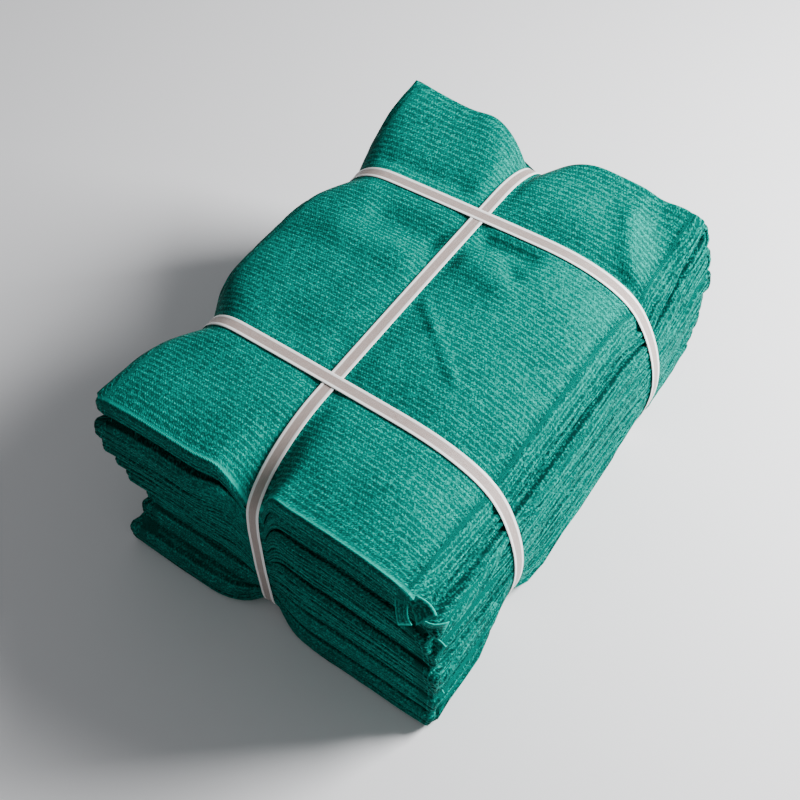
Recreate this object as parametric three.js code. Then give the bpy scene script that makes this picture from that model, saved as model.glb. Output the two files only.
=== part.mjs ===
// Folded shade netting: one length of knitted shade net, folded back and forth into a soft bale
// and tied by three flat plastic straps. Millimetres, +Z up, origin under the middle of the bale.
import * as THREE from 'three';

// Driving sizes of the bale
const WIDTH = 300;
const LENGTH = 426;
const HEIGHT = 206;
const LAYER_GAP = 0.9;
const CROWN = 4;

// The net's layers from the floor up, one row for each pass of the cloth along the bale. thick is the
// pass itself. The other columns say how far its edges stand out of the plain block: nearLeft to
// farRight at its folds, on either side of the lengthwise strap, and leftNear to rightFar at the two
// ends of its long edges.
const LAYER_COLUMNS = [
  'thick', 'nearLeft', 'nearRight', 'farLeft', 'farRight', 'leftNear', 'rightNear', 'leftFar', 'rightFar',
];
const LAYERS = [
  [12, 15, 9, 2, 3, 8, 11, 2, -4],
  [13, 11, 7, 4, 5, 5, 5, 3, -4],
  [12, 0, 4, 4, 5, -2, 3, 0, -5],
  [12, -2, 5, 0, 3, -4, 6, -3, -6],
  [13, -8, 0, 0, 3, -11, 1, -2, -5],
  [12, -6, 2, 3, 4, -9, -1, 1, -7],
  [12, -3, 4, 3, 4, -4, 3, 3, -5],
  [14, 0, 5, 6, 1, 2, 1, 4, -6],
  [12, 4, 1, 6, 1, 3, -3, 0, -3],
  [12, 3, -1, 2, 8, 2, 1, -2, -4],
  [11, 8, 3, 2, 8, 5, -4, 1, 0],
  [13, 12, 3, 5, 9, 8, -5, 3, -3],
  [12, 20, -3, 5, 9, 11, 9, 2, -3],
  [12, 6, -2, 9, 13, 3, 6, -1, -4],
  [10, 5, 2, 9, 13, 6, 1, 1, -5],
  [9, 8, 3, 21, 21, 11, 0, -1, -3],
].map((row) => Object.fromEntries(row.map((value, index) => [LAYER_COLUMNS[index], value])));

// How far each face of the bale bulges at half its height
const BELLY = { left: 5, right: 16, near: 1, far: 3 };

// From the middle of the plain block to the middle of the finished bale's outline
const MIDDLE = { x: 2.6, y: -0.1 };

// The far left corner of the top layers stands up a little
const LIFT = { height: 12, reach: 110 };

// The bale was tied a little out of square: how far its cross lines turn, at places along it
const SLANTS = [
  { at: -97, value: -0.025 },
  { at: 113, value: 0.03 },
  { at: 215, value: -0.01 },
];

// The top falls to each side in a soft shoulder, and this much of it shows at places along the bale
const SHOULDERS = { left: { reach: 70, depth: 10 }, right: { reach: 98, depth: 36 } };
const SHOULDER_SHARES = [
  { at: -213, value: 0.5 },
  { at: -160, value: 0.8 },
  { at: -110, value: 1 },
  { at: 120, value: 1 },
  { at: 160, value: 0.7 },
  { at: 213, value: 0 },
];

// The straps. at is the place of the strap's middle line, and dent, groove and tuck how deep it presses
// into the top, the underside and the face where low is. low and high are the top corners of its loop
// at the left or near side and at the right or far side, and under the bottom ones. Each corner is a
// quarter of an ellipse, reach along the bale and depth down its face, and pull is how far beside the
// strap the cloth is drawn down with it.
const STRAP_WIDTH = 12;
const STRAP_THICK = 0.8;
const STRAP_GAP = 0.5;
const STRAPS = [
  {
    name: 'strap_near', along: false, at: -97, dent: 3, groove: 3.6,
    low: { reach: 40, depth: 42, pull: 78 },
    high: { reach: 100, depth: 15, pull: 78 },
    under: { reach: 20, depth: 18, pull: 39 },
  },
  {
    name: 'strap_far', along: false, at: 113, dent: 3, groove: 3.6,
    low: { reach: 46, depth: 44, pull: 78 },
    high: { reach: 100, depth: 26, pull: 78 },
    under: { reach: 20, depth: 18, pull: 39 },
  },
  {
    name: 'strap_length', along: true, at: -10, dent: 3.5, groove: 5, tuck: 3,
    low: { reach: 105, depth: 62, pull: 22 },
    high: { reach: 70, depth: 44, pull: 60 },
    under: { reach: 24, depth: 22, pull: 30 },
  },
];
const DENT_REACH = 30;
const GROOVE_REACH = 16;

// The cloth lies flat this far beyond a strap's edge, and its edges move freely again at EDGE_REACH
const FLAT_BESIDE = 3;
const EDGE_REACH = 48;

// Bulging and uneven edges start this far from the bale's middle lines
const SIDE_START = 40;
const END_START = 130;

// Places of the mesh's rows on the cloth, as lengths along and across the bale. A fold starts after
// the last row along it.
const ALONG = [-202, -138, -106, -88, -50, 0, 62, 104, 122, 158, 202];
const ACROSS = [-150, -145, -105, -41, -18, -2, 21, 80, 118, 143, 150];
const FOLD_START = 202;
const FOLD_ANGLES = [-60, -22, 22, 60];
const FOLD_BULGE = 0.85;
const EDGE_TAPER = 0.4;

// Steps of a strap's loop up each face of the bale and round each corner, as shares of the corner
const FACE_STEPS = 16;
const CORNER_STEPS = [1, 0.97, 0.88, 0.74, 0.55, 0.32, 0];

// Finishes: satin knitted polyethylene and smooth polypropylene band
const NET_FINISH = { color: 0x0d7f6c, roughness: 0.55, metalness: 0 };
const STRAP_FINISH = { color: 0xe9e6e2, roughness: 0.4, metalness: 0 };

function clamp(value, low, high) {
  return Math.min(high, Math.max(low, value));
}

function mix(a, b, t) {
  return a + (b - a) * t;
}

// 1 under a strap and falling softly to 0 at reach beside it
function press(distance, reach) {
  const beside = Math.max(0, Math.abs(distance) - STRAP_WIDTH / 2 - FLAT_BESIDE);
  return clamp(1 - beside / reach, 0, 1) ** 2;
}

// How far an elliptic corner has fallen at a point inset from the edge
function cornerFall(inset, corner) {
  const t = clamp(1 - inset / corner.reach, 0, 1);
  return corner.depth * (1 - Math.sqrt(1 - t * t));
}

// The value of a table's rows at a place along the bale
function valueAt(rows, y) {
  const place = clamp(y, rows[0].at, rows.at(-1).at);
  const next = rows.findIndex((row, index) => index > 0 && row.at >= place);
  const [a, b] = [rows[next - 1], rows[next]];
  return mix(a.value, b.value, (place - a.at) / (b.at - a.at));
}

// Distance of a point of the plan from a strap's middle line, and its place along that strap
function strapPlace(strap, x, y) {
  const [aside, place, half] = strap.along ? [x, y, LENGTH / 2] : [y, x, WIDTH / 2];
  return {
    aside: aside - strap.at,
    inset: half - Math.abs(place),
    corner: place < 0 ? strap.low : strap.high,
  };
}

function topDrop(x, y) {
  const side = x < 0 ? SHOULDERS.left : SHOULDERS.right;
  const shoulder = valueAt(SHOULDER_SHARES, y) * cornerFall(WIDTH / 2 - Math.abs(x), side);
  let squares = shoulder ** 2;
  for (const strap of STRAPS) {
    const place = strapPlace(strap, x, y);
    const fall = press(place.aside, place.corner.pull) * cornerFall(place.inset, place.corner);
    const dent = press(place.aside, DENT_REACH) * strap.dent;
    squares += (fall + dent) ** 2;
  }
  return Math.sqrt(squares);
}

function topHeight(x, y) {
  const crown = CROWN * ((2 * x / WIDTH) ** 2 + (2 * y / LENGTH) ** 2) / 2;
  const corner = Math.hypot(x + WIDTH / 2, y - LENGTH / 2);
  const lift = LIFT.height * clamp(1 - corner / LIFT.reach, 0, 1) ** 2;
  return HEIGHT - crown + lift - topDrop(x, y);
}

function bottomHeight(x, y) {
  let squares = 0;
  for (const strap of STRAPS) {
    const place = strapPlace(strap, x, y);
    const fall = press(place.aside, strap.under.pull) * cornerFall(place.inset, strap.under);
    const groove = press(place.aside, GROOVE_REACH) * strap.groove;
    squares += (fall + groove) ** 2;
  }
  return Math.sqrt(squares);
}

// Carries a point of the plain block to its place in the bale. x and y are on the plan, share is the
// height from 0 to 1, and layer is a row that says how far the edges stand out there.
function shape(x, y, share, layer) {
  const [near, far, length] = STRAPS;
  const belly = 4 * share * (1 - share);
  const across = clamp((Math.abs(x) - SIDE_START) / (WIDTH / 2 - SIDE_START), 0, 1) ** 2;
  const along = clamp((Math.abs(y) - END_START) / (LENGTH / 2 - END_START), 0, 1) ** 2;
  const freeAcross = (1 - press(y - near.at, EDGE_REACH)) * (1 - press(y - far.at, EDGE_REACH));
  const held = press(x - length.at, EDGE_REACH);
  const end = clamp(y / LENGTH + 0.5, 0, 1);
  const left = BELLY.left * belly + freeAcross * mix(layer.leftNear, layer.leftFar, end);
  const right = BELLY.right * belly + freeAcross * mix(layer.rightNear, layer.rightFar, end);
  const nearEdge = x < length.at ? layer.nearLeft : layer.nearRight;
  const farEdge = x < length.at ? layer.farLeft : layer.farRight;
  const nearOut = BELLY.near * belly + (1 - held) * nearEdge - held * length.tuck;
  const farOut = BELLY.far * belly + (1 - held) * farEdge;
  const floor = bottomHeight(x, y);
  const movedX = x + across * (x < 0 ? -left : right);
  const movedY = y + along * (y < 0 ? -nearOut : farOut);
  return [
    movedX - MIDDLE.x,
    movedY + valueAt(SLANTS, y) * movedX - MIDDLE.y,
    floor + share * (topHeight(x, y) - floor),
  ];
}

function mixLayers(a, b) {
  const layer = {};
  for (const column of LAYER_COLUMNS) {
    layer[column] = (a[column] + b[column]) / 2;
  }
  return layer;
}

// The back-and-forth section of the net: pairs of points on its two faces, each a place along the
// bale and a share of its height, with the layer row that moves them.
function netSection() {
  const total = LAYERS.reduce((sum, layer) => sum + layer.thick + LAYER_GAP, -LAYER_GAP);
  const last = LAYERS.length - 1;
  const section = [];
  let low = 0;
  LAYERS.forEach((layer, index) => {
    const towardNear = index % 2 === 0;
    const high = low + layer.thick;
    section.push(...pass(layer, low, high, towardNear, index === 0, index === last));
    if (index < last) {
      section.push(...fold(layer, low, high, LAYERS[index + 1], towardNear));
    }
    low = high + LAYER_GAP;
  });
  return section.map(({ faces, layer }) => (
    { layer, faces: faces.map(([place, height]) => [place, height / total]) }
  ));
}

// One flat pass of the cloth along the bale, thinned at a free end
function pass(layer, low, high, towardNear, startsFree, endsFree) {
  const places = towardNear ? [...ALONG].reverse() : ALONG;
  return places.map((place, index) => {
    const free = (startsFree && index === 0) || (endsFree && index === places.length - 1);
    const pinch = free ? (1 - EDGE_TAPER) * layer.thick / 2 : 0;
    const faces = [[place, low + pinch], [place, high - pinch]];
    return { faces: towardNear ? faces : faces.reverse(), layer };
  });
}

// The turn of the cloth from one layer to the next one up. Its outer face is half an ellipse.
function fold(layer, low, high, nextLayer, atNear) {
  const nextLow = high + LAYER_GAP;
  const nextHigh = nextLow + nextLayer.thick;
  const way = atNear ? -1 : 1;
  const outerRise = (nextHigh - low) / 2;
  const innerRise = LAYER_GAP / 2;
  return FOLD_ANGLES.map((angle) => {
    const turn = THREE.MathUtils.degToRad(angle);
    const outer = [
      way * (FOLD_START + FOLD_BULGE * outerRise * Math.cos(turn)),
      low + outerRise * (1 + Math.sin(turn)),
    ];
    const inner = [
      way * (FOLD_START + innerRise * Math.cos(turn)),
      high + innerRise * (1 + Math.sin(turn)),
    ];
    return { faces: atNear ? [outer, inner] : [inner, outer], layer: mixLayers(layer, nextLayer) };
  });
}

// A closed mesh from a grid of point pairs: rows along the cloth, columns across it
function closedSheet(rows) {
  const lastRow = rows.length - 1;
  const lastColumn = rows[0].length - 1;
  const indices = [];
  const at = (row, column, face) => (row * (lastColumn + 1) + column) * 2 + face;
  const quad = (a, b, c, d) => indices.push(a, c, b, a, d, c);
  for (let row = 0; row < lastRow; row += 1) {
    const next = row + 1;
    for (let column = 0; column < lastColumn; column += 1) {
      const beside = column + 1;
      quad(at(row, column, 0), at(next, column, 0), at(next, beside, 0), at(row, beside, 0));
      quad(at(row, column, 1), at(row, beside, 1), at(next, beside, 1), at(next, column, 1));
    }
    quad(at(row, 0, 0), at(row, 0, 1), at(next, 0, 1), at(next, 0, 0));
    quad(at(row, lastColumn, 0), at(next, lastColumn, 0), at(next, lastColumn, 1), at(row, lastColumn, 1));
  }
  for (let column = 0; column < lastColumn; column += 1) {
    const beside = column + 1;
    quad(at(0, column, 0), at(0, beside, 0), at(0, beside, 1), at(0, column, 1));
    quad(at(lastRow, column, 0), at(lastRow, column, 1), at(lastRow, beside, 1), at(lastRow, beside, 0));
  }
  return meshGeometry(rows.flat(3), indices);
}

function meshGeometry(positions, indices) {
  const geometry = new THREE.BufferGeometry();
  geometry.setAttribute('position', new THREE.Float32BufferAttribute(positions, 3));
  geometry.setIndex(indices);
  geometry.computeVertexNormals();
  return geometry;
}

function netting() {
  const rows = netSection().map(({ faces, layer }) => ACROSS.map((x) => {
    const taper = Math.abs(x) === WIDTH / 2 ? EDGE_TAPER : 1;
    const [a, b] = faces;
    const middle = [(a[0] + b[0]) / 2, (a[1] + b[1]) / 2];
    return faces.map(([y, share]) => (
      shape(x, mix(middle[0], y, taper), mix(middle[1], share, taper), layer)
    ));
  }));
  return named('netting', closedSheet(rows), new THREE.MeshStandardMaterial(NET_FINISH));
}

// Places from one edge to the other that fall close together round the corners of a strap's loop,
// with those of the cloth's own rows
function strapPlaces(half, low, high, rows) {
  const first = CORNER_STEPS.map((step) => -half + low.reach * (1 - step));
  const last = CORNER_STEPS.map((step) => half - high.reach * (1 - step));
  return [...first, ...rows, ...last];
}

// The bale's outline under a strap, as points of the strap's own upright plane
function outlineUnder(strap) {
  const plain = Object.fromEntries(LAYER_COLUMNS.map((column) => [column, 0]));
  const half = (strap.along ? LENGTH : WIDTH) / 2;
  const rows = strap.along ? ALONG : ACROSS;
  const heights = Array.from({ length: FACE_STEPS + 1 }, (_, index) => index / FACE_STEPS);
  const outline = [];
  const add = (place, share) => {
    const point = strap.along ? shape(strap.at, place, share, plain) : shape(place, strap.at, share, plain);
    outline.push(new THREE.Vector2(strap.along ? point[1] : point[0], point[2]));
  };
  strapPlaces(half, strap.low, strap.high, rows).forEach((place) => add(place, 1));
  strapPlaces(half, strap.under, strap.under, rows).forEach((place) => add(place, 0));
  for (const share of heights) {
    add(-half, share);
    add(half, share);
  }
  return outline;
}

// The shortest loop round a set of points, counterclockwise: a tight strap bridges every hollow
function tightLoop(points) {
  const sorted = [...points].sort((a, b) => a.x - b.x || a.y - b.y);
  const turn = (a, b, c) => (b.x - a.x) * (c.y - a.y) - (b.y - a.y) * (c.x - a.x);
  const chain = (list) => {
    const kept = [];
    for (const point of list) {
      while (kept.length > 1 && turn(kept.at(-2), kept.at(-1), point) < 0.01) {
        kept.pop();
      }
      kept.push(point);
    }
    return kept.slice(0, -1);
  };
  return [...chain(sorted), ...chain(sorted.reverse())];
}

// A loop moved outwards by a distance, corner by corner
function widened(loop, distance) {
  return loop.map((point, index) => {
    const before = loop.at(index - 1);
    const after = loop[(index + 1) % loop.length];
    const inward = point.clone().sub(before).normalize();
    const outward = after.clone().sub(point).normalize();
    const bisector = inward.clone().add(outward).normalize();
    const normal = new THREE.Vector2(bisector.y, -bisector.x);
    return point.clone().addScaledVector(normal, distance / bisector.dot(outward));
  });
}

// The edges of the lengthwise strap, over and under the bale, where a crosswise strap crosses it
function crossingPoints(strap, inner) {
  const outer = widened(inner.loop, STRAP_THICK);
  const crossing = strap.at + valueAt(SLANTS, strap.at) * inner.strap.at - MIDDLE.y;
  const heights = outer.flatMap((point, index) => {
    const next = outer[(index + 1) % outer.length];
    const share = (crossing - point.x) / (next.x - point.x);
    return share >= 0 && share < 1 ? [mix(point.y, next.y, share)] : [];
  });
  const middle = inner.strap.at - MIDDLE.x;
  const half = STRAP_WIDTH / 2 + STRAP_GAP;
  return [middle - half, middle + half].flatMap((x) => (
    heights.map((height) => new THREE.Vector2(x, height))
  ));
}

// A flat band round a loop, centred on the strap's plane
function bandGeometry(strap, loop) {
  const outer = widened(loop, STRAP_THICK);
  const edge = strap.along ? STRAP_WIDTH / 2 : -STRAP_WIDTH / 2;
  const place = (point, side) => {
    if (strap.along) {
      return [strap.at + side - MIDDLE.x, point.x, point.y];
    }
    const slant = valueAt(SLANTS, strap.at) * (point.x + MIDDLE.x);
    return [point.x, strap.at + side + slant - MIDDLE.y, point.y];
  };
  const sections = loop.map((point, index) => (
    [place(point, -edge), place(point, edge), place(outer[index], edge), place(outer[index], -edge)]
  ));
  const indices = sections.flatMap((section, index) => {
    const here = index * section.length;
    const next = ((index + 1) % loop.length) * section.length;
    return section.flatMap((_, side) => {
      const other = (side + 1) % section.length;
      return [here + side, here + other, next + other, here + side, next + other, next + side];
    });
  });
  return meshGeometry(sections.flat(2), indices);
}

function straps() {
  const material = new THREE.MeshStandardMaterial(STRAP_FINISH);
  const length = STRAPS.find((strap) => strap.along);
  const inner = { strap: length, loop: widened(tightLoop(outlineUnder(length)), STRAP_GAP) };
  return STRAPS.map((strap) => {
    const crossing = strap.along ? [] : crossingPoints(strap, inner);
    const loop = widened(tightLoop([...outlineUnder(strap), ...crossing]), STRAP_GAP);
    return named(strap.name, bandGeometry(strap, loop), material);
  });
}

function named(name, geometry, material) {
  const mesh = new THREE.Mesh(geometry, material);
  mesh.name = name;
  return mesh;
}

const bale = new THREE.Group();
bale.add(netting(), ...straps());

export default bale;
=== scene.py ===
import math
from functools import partial

import bpy
import numpy as np
from mathutils import Matrix, Vector


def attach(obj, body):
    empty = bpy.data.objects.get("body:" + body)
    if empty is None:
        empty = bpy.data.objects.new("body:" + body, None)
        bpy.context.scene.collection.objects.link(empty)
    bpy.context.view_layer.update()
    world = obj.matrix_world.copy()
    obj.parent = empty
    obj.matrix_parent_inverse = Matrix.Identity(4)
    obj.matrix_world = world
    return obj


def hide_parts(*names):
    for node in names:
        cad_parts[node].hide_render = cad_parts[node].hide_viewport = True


bl_info = {
    "name": "Folded shade netting",
    "version": (1, 0, 0),
    "blender": (4, 5, 0),
    "location": "3D View > Sidebar > Netting",
    "description": "Builds a folded and strapped bale of knitted shade net round its fixed frame",
    "category": "Object",
}

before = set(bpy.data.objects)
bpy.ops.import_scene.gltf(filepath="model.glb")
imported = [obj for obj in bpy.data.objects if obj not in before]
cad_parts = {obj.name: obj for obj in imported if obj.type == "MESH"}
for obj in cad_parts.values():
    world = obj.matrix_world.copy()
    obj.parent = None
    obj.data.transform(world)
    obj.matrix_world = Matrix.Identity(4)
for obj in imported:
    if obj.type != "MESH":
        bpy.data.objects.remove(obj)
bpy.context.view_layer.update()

MM = 0.001
SEED = 7


def table(columns, *rows):
    """A short table: each row as a dictionary by its columns' names."""
    return [dict(zip(columns, row)) for row in rows]


# Driving sizes of the bale, the same as the solids have
WIDTH = 300
LENGTH = 426
HEIGHT = 206
LAYER_GAP = 0.9
CROWN = 4

# The net's layers from the floor up, one row for each pass of the cloth along the bale. thick is the
# pass itself. The other columns say how far its edges stand out of the plain block: near_left to
# far_right at its folds, on either side of the lengthwise strap, and left_near to right_far at the two
# ends of its long edges.
LAYER_COLUMNS = (
    "thick", "near_left", "near_right", "far_left", "far_right",
    "left_near", "right_near", "left_far", "right_far",
)
LAYERS = table(
    LAYER_COLUMNS,
    (12, 15, 9, 2, 3, 8, 11, 2, -4),
    (13, 11, 7, 4, 5, 5, 5, 3, -4),
    (12, 0, 4, 4, 5, -2, 3, 0, -5),
    (12, -2, 5, 0, 3, -4, 6, -3, -6),
    (13, -8, 0, 0, 3, -11, 1, -2, -5),
    (12, -6, 2, 3, 4, -9, -1, 1, -7),
    (12, -3, 4, 3, 4, -4, 3, 3, -5),
    (14, 0, 5, 6, 1, 2, 1, 4, -6),
    (12, 4, 1, 6, 1, 3, -3, 0, -3),
    (12, 3, -1, 2, 8, 2, 1, -2, -4),
    (11, 8, 3, 2, 8, 5, -4, 1, 0),
    (13, 12, 3, 5, 9, 8, -5, 3, -3),
    (12, 20, -3, 5, 9, 11, 9, 2, -3),
    (12, 6, -2, 9, 13, 3, 6, -1, -4),
    (10, 5, 2, 9, 13, 6, 1, 1, -5),
    (9, 8, 3, 21, 21, 11, 0, -1, -3),
)

# How far each face of the bale bulges at half its height
BELLY = {"left": 5, "right": 16, "near": 1, "far": 3}

# From the middle of the plain block to the middle of the finished bale's outline
MIDDLE = (2.6, -0.1)

# The far left corner of the top layers stands up a little
LIFT = {"height": 12, "reach": 110}

# The bale was tied a little out of square: how far its cross lines turn, at places along it
SLANT_PLACES = (-97, 113, 215)
SLANTS = (-0.025, 0.03, -0.01)

# The top falls to each side in a soft shoulder of this reach and depth, and this much of it shows at
# places along the bale
SHOULDERS = {"left": (70, 10), "right": (98, 36)}
SHOULDER_PLACES = (-213, -160, -110, 120, 160, 213)
SHOULDER_SHARES = (0.5, 0.8, 1, 1, 0.7, 0)

# The straps. at is the place of the strap's middle line, and dent, groove and tuck how deep it presses
# into the top, the underside and the face where low is. low and high are the top corners of its loop
# at the left or near side and at the right or far side, and under the bottom ones. Each corner is its
# reach along the bale, its depth down the face and how far beside the strap the cloth is drawn down.
# The loop is drawn tight round the net that lies within STRAP_MARGIN of the strap, without the points
# that are STRAIGHT between others. It is kept STRAP_LIFT off it and softened in LOOP_ROUNDS rounds.
STRAP_WIDTH = 12
STRAP_THICK = 0.8
STRAP_LIFT = 0.5
STRAP_MARGIN = 1
STRAIGHT = 0.01
LOOP_STEP = 3
LOOP_ROUNDS = 6
STRAPS = {
    "strap_near": {
        "along": False, "at": -97, "dent": 3, "groove": 3.6, "tuck": 0,
        "low": (40, 42, 78), "high": (100, 15, 78), "under": (20, 18, 39),
    },
    "strap_far": {
        "along": False, "at": 113, "dent": 3, "groove": 3.6, "tuck": 0,
        "low": (46, 44, 78), "high": (100, 26, 78), "under": (20, 18, 39),
    },
    "strap_length": {
        "along": True, "at": -10, "dent": 3.5, "groove": 5, "tuck": 3,
        "low": (105, 62, 22), "high": (70, 44, 60), "under": (24, 22, 30),
    },
}
DENT_REACH = 30
GROOVE_REACH = 16

# The cloth lies flat this far beyond a strap's edge. Its edges move freely again at EDGE_REACH, its
# single plies at PLY_REACH and its creases at CREASE_REACH.
FLAT_BESIDE = 3
EDGE_REACH = 48
PLY_REACH = 22
CREASE_REACH = 12

# Bulging and uneven edges start this far from the bale's middle lines, and a fold at FOLD_START
SIDE_START = 40
END_START = 130
FOLD_START = 202
FOLD_BULGE = 0.7

# Creases of the top, given one by one: each is a soft ridge, or a trough where rise is below 0, from one
# place of the plan to another, with how wide it is to either side
CREASE_COLUMNS = ("x0", "y0", "x1", "y1", "wide", "rise")
CREASES = table(
    CREASE_COLUMNS,
    (-80, 72, -20, 70, 17, -7.6),
    (-100, 34, -18, 34, 16, 4.2),
    (-6, 92, 48, 92, 12, -6.8),
    (-2, 62, 50, 52, 13, 4.2),
    (40, 80, 52, 66, 7, -3.4),
    (-6, 16, 28, -12, 4, 2.0),
    (28, -12, 72, -47, 4, 2.0),
    (100, 172, 136, 118, 11, 6.0),
    (112, 196, 146, 158, 14, -4.5),
    (20, 170, 90, 150, 24, 3.4),
    (-60, 200, -20, 165, 22, 5.1),
    (-125, 205, -85, 200, 18, -2.0),
    (-118, 130, -45, 132, 12, -4.2),
    (-80, -70, -30, -62, 18, -2.5),
    (50, -165, 105, -150, 22, 3.1),
    (20, -185, 60, -170, 20, -2.5),
    (-120, -185, -60, -165, 24, 2.7),
    (100, -60, 125, -15, 16, -2.4),
)

# Grooves between two passes at the cloth's long edges that are deeper than the usual ones. boundary
# counts the passes below it, depth is how far in the groove goes, and near and far are how much each
# of its lips stands away at the two ends of the bale. The lips bend within LIP_REACH of the edge. A
# groove fades out round a pass's edge, the faster the higher GROOVE_NARROWS is, and the shade painted
# into it is as dark as it gets from DARK_GROOVE deep.
GROOVE_COLUMNS = ("boundary", "side", "depth", "near", "far")
GROOVES = table(
    GROOVE_COLUMNS,
    (14, "right", 14, 3.4, 2.6),
    (15, "right", 6, 1.4, 0.2),
    (12, "right", 4, 0.8, 0.3),
    (8, "right", 6, 1.2, 0.2),
    (5, "right", 5, 1.0, 0.0),
    (14, "left", 9, 1.0, 0.6),
    (12, "left", 5, 0.4, 0.0),
    (4, "left", 9, 1.4, 0.4),
    (2, "left", 6, 0.5, 0.0),
)
USUAL_GROOVE = (1.4, 3.2)
GROOVE_NARROWS = 20
DARK_GROOVE = 4
LIP_REACH = 32

# Loose corners of single plies that stick out where the near end meets the right side. Each is a
# small sheet between four corners, root_low to tip_high, and bends out by bend at its middle.
FLAP_COLUMNS = ("root_low", "root_high", "tip_low", "tip_high", "bend")
FLAPS = table(
    FLAP_COLUMNS,
    ((146, -212, 152), (147, -214, 170), (164, -206, 147), (168, -204, 166), 3.0),
    ((142, -214, 176), (144, -210, 190), (152, -222, 172), (163, -212, 183), -2.5),
    ((128, -214, 178), (140, -214, 181), (137, -224, 160), (148, -222, 168), 2.0),
    ((148, -210, 118), (148, -210, 134), (161, -212, 113), (166, -206, 128), -2.0),
    ((146, -210, 66), (146, -210, 84), (158, -212, 70), (165, -204, 80), 2.5),
    ((148, -208, 38), (148, -208, 52), (160, -212, 36), (163, -206, 46), -2.0),
)
FLAP_THICK = 1.0
FLAP_STEPS = 8

# Length of the cloth's map that is drawn over the thickness of a cut end, so that its plies show
CUT_END_ROWS = 45

# Where the mesh has its rows: two to each rib on the top, and by this list in the hidden passes
RIB_PITCH = 4.8
STATIONS_PER_RIB = 2
PASS_ROWS = (
    -202, -186, -165, -145, -125, -110, -97, -84, -65, -40, -10,
    20, 50, 78, 100, 113, 126, 148, 170, 188, 202,
)

# The mesh has all its columns on the top, every second one on the outside of the folds and under the
# bale, and every fifth one where pass lies on pass
COLUMN_COUNT = 101
FOLD_STEP = 2
HIDDEN_STEP = 5

# Each fold and long edge is drawn as a few plies. A ply has rows at PLY_SHARES of its own height, and
# the last ply of a fold has one more, its crest. FOLD_SQUARE makes a fold fuller than half a circle,
# NOSE_POWER keeps a ply flat up to the groove beside it, and PLY_GROOVE is that groove's usual depth.
EDGE_PLIES = 2
FOLD_PLIES = 5
PLY_SHARES = (0.0, 0.14, 0.5, 0.86)
CREST_SHARE = 0.95
FOLD_SQUARE = 4
NOSE_POWER = 6
PLY_GROOVE = 1.5

# The places round the cloth: COLUMN_COUNT across one face, EDGE_COUNT round its right edge, and as many
# from BACK on
EDGE_COUNT = EDGE_PLIES * len(PLY_SHARES) - 1
BACK = COLUMN_COUNT + EDGE_COUNT
RING_COUNT = 2 * BACK

# How unevenly the plies of a long edge, a fold and the top fold stand out: waves by their length and
# height, the least and the most that a groove's depth is multiplied by, and how much of both shows.
# Under a strap PLY_HELD of that is pressed flat. OFF_STRAPS is a place away from every strap. A wave
# is a sum of sines: WAVE_PARTS are their shares of its length and height, WAVE_SPREAD the spread of
# their lengths, and WAVE_PEAK what their sum is divided by.
LONG_EDGE = {"waves": ((95, 0.6), (31, 0.2)), "grooves": (0.5, 1.4), "wave_share": 1, "groove_share": 1}
FOLD = {**LONG_EDGE, "waves": ((140, 0.5), (47, 0.15)), "grooves": (0.4, 1.5)}
TOP_FOLD = {**FOLD, "wave_share": 0.3, "groove_share": 0.35}
PLY_HELD = 0.85
OFF_STRAPS = 999
WAVE_PARTS = (1.0, 0.6, 0.35)
WAVE_SPREAD = (0.8, 1.25)
WAVE_PEAK = 1.3

# The long edges start this share of the way out from the middle. On the right of the top pass a fine
# line runs there, this deep, with painted shade this dark in it.
HEM_SHARE = 0.94
HEM_DEPTH = 0.9
HEM_DARK = 0.4

# The knit's pattern: scale and reach of the noise that bends its rows, scale of its cloudiness, how
# narrow its ribs, stitches, tapes and specks are, and how much each part adds to the shade, the height
# and the roughness. The shade runs from 0 for a gap, by TAPE_STOP for a tape, to 1 for a thread, and is
# KNIT_LEAST where nothing adds to it. On a long edge a speck is 1 / EDGE_SPECK times as wide.
WAVER_SCALE = 90.0
WAVER = 1.6
CLOUD_SCALE = 14.0
RIB_SHARPNESS = 7.0
STITCH_SHARPNESS = 1.2
TAPE_SHARPNESS = 1.5
TAPE_LEAN = 0.8
SPECK_SHARPNESS = 3.0
EDGE_SPECK = 0.6
TAPE_STOP = 0.36
KNIT_LEAST = 0.14
# Of these, the brightest spots of the specks are painted glints, crease is a painted highlight on the top
# fold's crest and the flaps' rims, and groove and long_edge are painted shade
KNIT_SHADE = {
    "rib": 0.34, "tape": 0.08, "bright": 0.42, "speck": 0.1, "cloud": 0.35, "crease": 0.8,
    "long_edge": -0.06, "groove": -0.45,
}
KNIT_HEIGHT = {"rib": 0.6, "tape": 0.25, "speck": 0.3}
KNIT_ROUGHNESS = 0.6
KNIT_GLOSS = {"bright": -0.25}

# The strap's look: the grip's relief fades out between two shares of the half width, and the middle
# is painted darker, as shade in its recess, made uneven and cloudy like milk
GRIP_FADES = (0.5, 0.66)
GRIP_DEPTH = 0.25
MILK_SCALE = 60.0
MILK_CHANGE = 0.5
MILK_LEAST = 0.65

# The strap's section: points round it, its rounded corners, how thin its middle is beside its raised
# edges, and how wide the slope between them is as a share of the width
BAND_POINTS = 44
BAND_CORNER = 0.3
BAND_MIDDLE = 0.55
BAND_SLOPE = 0.07

# The camera's place, its turns in order and its focal length in pixels of an image of IMAGE_SIDE, worked
# out from where the bale's corners are in that image
CAMERA_PLACE = (450.56, -607.21, 1094.68)
CAMERA_TURNS = (("Z", 37.95), ("X", 36.69), ("Z", -3.66))
CAMERA_PIXELS = 1452.2
IMAGE_SIDE = 800
SENSOR = 36

# The light stands behind the bale to the right, and shines on the middle of it
KEY_PLACE = (860, 780, 850)
KEY_AIM = (0, 0, 100)


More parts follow.
